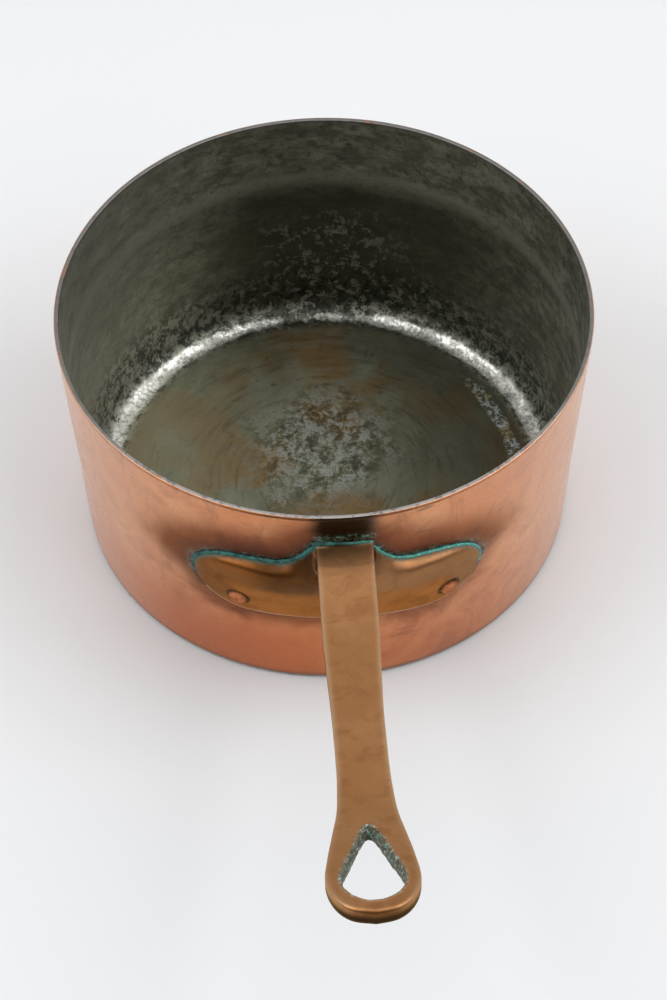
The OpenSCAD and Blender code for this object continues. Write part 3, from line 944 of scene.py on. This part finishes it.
def brass_surface(obj):
    """Satin brass with a brown patina and verdigris in the hole and seam, and painted light: a pale
    highlight along the edges and the bracket's lower edge, a paler right crest, and shade on the left
    crest, beside the strap, at the strap's root, under the strap and at the loop's end.
    """
    s = Surface("old_brass")
    cloud, patch, fine = s.noise(34, 4, 0.6, 0.5), s.noise(9, 5, 0.6, 0.6), s.noise(2.2, 4, 0.65)
    file_marks = s.noise(0.8, 3, 0.6, 0.0, s.stretched(1, 0.08, 1))
    wing, crest, left = s.attribute("wing"), s.attribute("crest"), s.attribute("left")
    color = s.blend(s.span(cloud, 0.35, 0.65), BRASS.base, BRASS.pale)
    color = s.layer(color, s.span(patch, 0.45, 0.70), 0.65, BRASS.patch)
    pits = s.times(s.span(s.cells(4.2), 0.13, 0.06), s.span(s.noise(11, 2), 0.55, 0.62))
    color = s.layer(color, pits, 0.7, BRASS.pit)

    color = s.blend(wing, color, PATINA_AND_SHADE.wing, "MULTIPLY")
    # the crest's brown patina, laid stronger on the left as painted shade
    crest_patina_and_left_shade = s.times(crest, s.span(left, 0.0, 1.0, 0.75, 1.0))
    color = s.blend(crest_patina_and_left_shade, color, PATINA_AND_SHADE.crest, "MULTIPLY")
    # painted highlight: the crest is paler towards the right
    rubbed_and_highlight = s.times(s.times(crest, crest), s.span(left, 1.0, 0.0, 0.0, 0.2))
    color = s.blend(rubbed_and_highlight, color, BRASS.rubbed_and_highlight)
    # the tone for the painted shade on the crest, deeper on the left
    hollow = s.blend(left, PATINA_AND_SHADE.shade_right, PATINA_AND_SHADE.shade_left)
    color = s.blend(s.attribute("shade"), color, hollow, "MULTIPLY")
    # painted shade beside the strap
    color = s.blend(s.attribute("neck"), color, PATINA_AND_SHADE.neck, "MULTIPLY")
    # painted highlight: a pale tone laid along the edges
    color = s.layer(color, s.attribute("edge"), 0.6, BRASS.edge)
    # painted reflection: the pale line along the bracket's lower edge
    color = s.layer(color, s.attribute("foot"), 0.95, BRASS.foot)

    rings = 0.0
    for _, angle, drop in RIVETS:
        gap = s.add("ShaderNodeVectorMath", operation="DISTANCE")
        s.put(gap.inputs[0], s.place)
        gap.inputs[1].default_value = rivet_frame(angle, drop)[0] * MM
        distance, head_r = gap.outputs["Value"], HEAD_D / 2
        ring = s.times(s.span(distance, (head_r - 0.3) * MM, (head_r + 0.1) * MM),
                       s.span(distance, (head_r + 1.4) * MM, (head_r + 0.5) * MM))
        rings = s.most(ring, rings)
    color = s.layer(color, rings, 0.9, BRASS.ring)

    # painted shade and reflection of the dark wall across the strap's root
    color = s.layer(color, s.attribute("root"), 0.45, BRASS.root)
    color = s.layer(color, s.attribute("outer"), 0.28, BRASS.outer)
    # painted shade at the middle of the loop's outer edge
    color = s.blend(s.attribute("tip"), color, PATINA_AND_SHADE.tip, "MULTIPLY")
    # painted shade on the underside of the strap and loop
    color = s.layer(color, s.attribute("under"), 0.96, BRASS.under)
    crease = s.span(s.ragged(s.attribute("crease"), patch, 0.5), 0.4, 1.1)
    color = s.layer(color, crease, 0.6, BRASS.crease)

    crust_noise = s.noise(1.3, 5, 0.7)
    crust = s.times(s.attribute("hole"), s.span(crust_noise, 0.2, 0.42))
    green = s.blend(s.span(s.noise(4.4, 4, 0.7), 0.5, 0.64), BRASS.crust, BRASS.crust_teal)
    green = s.blend(s.span(s.noise(1.8, 5, 0.75), 0.5, 0.42), green, BRASS.crust_dark)
    green = s.blend(s.span(s.noise(1.1, 4, 0.75), 0.54, 0.62), green, BRASS.crust_pale)
    color = s.blend(crust, color, green)
    seam = s.times(s.attribute("seam"), s.span(fine, 0.3, 0.55))
    color = s.layer(color, seam, 0.85, BRASS.seam)

    dull = s.most(crust, seam)
    rough = s.plus(s.span(patch, 0.3, 0.7, 0.36, 0.46), s.times(dull, 0.4))
    rough = s.plus(rough, s.times(wing, 0.02))
    metal = s.less(1.0, s.times(dull, 0.95))
    relief = s.bump(file_marks, 0.012, s.bump(fine, 0.03, s.bump(patch, 0.12)))
    relief = s.bump(s.times(crust_noise, dull), 0.9, relief)
    s.finish(obj, Base_Color=color, Roughness=rough, Metallic=metal, Normal=relief,
             Coat_Weight=s.times(crest, 0.12), Coat_Roughness=0.2, Specular_Tint=BRASS.gleam)


RIVET = SimpleNamespace(
    base=(0.56, 0.20, 0.085), dark=(0.34, 0.115, 0.05), rim=(0.04, 0.022, 0.015),
    tinned=(0.30, 0.31, 0.28), gleam=(0.95, 0.75, 0.56, 1.0),
)
VERDIGRIS = SimpleNamespace(
    bright=(0.04, 0.33, 0.28), pale=(0.24, 0.60, 0.54),
    dark=(0.018, 0.05, 0.042), dark_teal=(0.045, 0.19, 0.165),
)


def rivet_surface(objects):
    """Hammered copper, with dark dirt round the head and a tinned inner head."""
    s = Surface("rivet_copper")
    patch, fine = s.noise(3, 4, 0.6), s.noise(0.8, 3, 0.6)
    color = s.blend(s.span(patch, 0.4, 0.65), RIVET.base, RIVET.dark)
    color = s.layer(color, s.attribute("rim"), 0.9, RIVET.rim)
    color = s.layer(color, s.attribute("inner"), 0.9, RIVET.tinned)
    relief = s.bump(fine, 0.03, s.bump(patch, 0.12))
    for obj in objects:
        s.finish(obj, Base_Color=color, Roughness=s.span(fine, 0.3, 0.7, 0.20, 0.32),
                 Metallic=1.0, Normal=relief, Specular_Tint=RIVET.gleam)


def verdigris_surface(obj):
    """Dull crusty green-blue corrosion."""
    s = Surface("verdigris")
    grit, lump = s.noise(0.9, 5, 0.7), s.noise(3.2, 3, 0.6)
    bright = s.blend(s.span(grit, 0.4, 0.62), VERDIGRIS.bright, VERDIGRIS.pale)
    dull = s.blend(s.span(lump, 0.4, 0.6), VERDIGRIS.dark, VERDIGRIS.dark_teal)
    color = s.layer(bright, s.attribute("dull"), 0.92, dull)
    s.finish(obj, Base_Color=color, Roughness=0.85, Normal=s.bump(grit, 0.5))


# ---------------------------------------------------------------- stage, light and camera
# name, place, target and size in metres, power in watts
SOFTBOXES = [
    ("overhead", (0.0, 0.1, 2.6), (0, 0, 0), (2.4, 2.0), 17),
    ("left", (-2.1, -0.2, 2.2), (0, 0, 0.05), (1.8, 1.8), 27),
    ("right", (2.1, -0.2, 2.2), (0, 0, 0.05), (1.8, 1.8), 31),
    ("front_left", (-1.5, -1.6, 2.2), (0, 0, 0.05), (1.3, 1.3), 8),
    ("front_right", (1.5, -1.6, 2.2), (0, 0, 0.05), (1.3, 1.3), 12),
]
FLOOR_SIZE = 9
PAPER, PALE_PAPER = (0.80, 0.816, 0.828), (0.82, 0.836, 0.848)
SKY = (0.96, 0.97, 1.0, 1)


def stage():
    """A pale floor, a world that is brighter behind the pan, and the softboxes."""
    bpy.ops.mesh.primitive_plane_add(size=FLOOR_SIZE)
    floor = bpy.context.object
    floor.name = "floor"
    s = Surface("pale_paper")
    tone = s.blend(s.noise(260, 3), PAPER, PALE_PAPER)
    s.finish(floor, Base_Color=tone, Roughness=0.9)

    world = bpy.data.worlds.new("studio")
    world.use_nodes = True
    nodes, links = world.node_tree.nodes, world.node_tree.links
    ahead = nodes.new("ShaderNodeSeparateXYZ")
    glow = nodes.new("ShaderNodeMapRange")
    for key, number in (("From Min", -0.8), ("From Max", 0.7), ("To Min", 0.10), ("To Max", 0.62)):
        glow.inputs[key].default_value = number
    links.new(nodes.new("ShaderNodeTexCoord").outputs["Generated"], ahead.inputs[0])
    links.new(ahead.outputs["Y"], glow.inputs["Value"])
    links.new(glow.outputs[0], nodes["Background"].inputs["Strength"])
    nodes["Background"].inputs["Color"].default_value = SKY
    bpy.context.scene.world = world

    for name, place, target, size, power in SOFTBOXES:
        light = bpy.data.lights.new(name, "AREA")
        light.shape = "RECTANGLE"
        light.size, light.size_y = size
        light.energy = power
        obj = bpy.data.objects.new(name, light)
        obj.location = place
        obj.rotation_euler = (Vector(target) - Vector(place)).to_track_quat("-Z", "Y").to_euler()
        bpy.context.scene.collection.objects.link(obj)


def camera():
    """Looks down at the middle of the rim, then is turned, tilted and rolled a little."""
    distance, lens, sensor = 1.1565, 112.5, 36
    elevation, azimuth = math.radians(47.776), math.radians(-3.45)
    turn, tilt, roll = math.radians(0.119), math.radians(-3.532), math.radians(-0.957)
    centre = Vector((0, 0, PAN_H * MM))
    to_rim = Vector((-math.sin(azimuth) * math.cos(elevation),
                     math.cos(azimuth) * math.cos(elevation), -math.sin(elevation)))
    right = Vector((math.cos(azimuth), math.sin(azimuth), 0))
    up = right.cross(to_rim)
    ahead = to_rim * math.cos(tilt) + up * math.sin(tilt)
    up = -to_rim * math.sin(tilt) + up * math.cos(tilt)
    ahead, right = (ahead * math.cos(turn) + right * math.sin(turn),
                    right * math.cos(turn) - ahead * math.sin(turn))
    right, up = (right * math.cos(roll) + up * math.sin(roll),
                 up * math.cos(roll) - right * math.sin(roll))
    data = bpy.data.cameras.new("camera")
    data.lens, data.sensor_width, data.sensor_fit = lens, sensor, "AUTO"
    data.clip_start, data.clip_end = 0.05, 50
    obj = bpy.data.objects.new("camera", data)
    turn_matrix = Matrix((right, up, -ahead)).transposed().to_4x4()
    obj.matrix_world = Matrix.Translation(centre - to_rim * distance) @ turn_matrix
    bpy.context.scene.collection.objects.link(obj)
    bpy.context.scene.camera = obj


# ---------------------------------------------------------------- assembly
def keep(obj, slot, *nodes):
    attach(obj, "root")
    if nodes:
        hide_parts(*nodes)


shell, skin, casting = copper_shell(), tin_skin(), cast_handle()
copper_surface(shell)
tin_surface(skin)
brass_surface(casting)
keep(shell, "copper_shell", "pan_body")
keep(skin, "tin_lining", "tin_lining")
keep(casting, "cast_brass", "handle")

heads = [rivet(name, angle, drop, k + 1) for k, (name, angle, drop) in enumerate(RIVETS)]
rivet_surface(heads)
for head, (name, _, _) in zip(heads, RIVETS):
    keep(head, "copper_rivet", name)

bead = verdigris_bead()
verdigris_surface(bead)
keep(bead, "verdigris")

stage()
camera()
bpy.context.scene.view_settings.view_transform = "Standard"
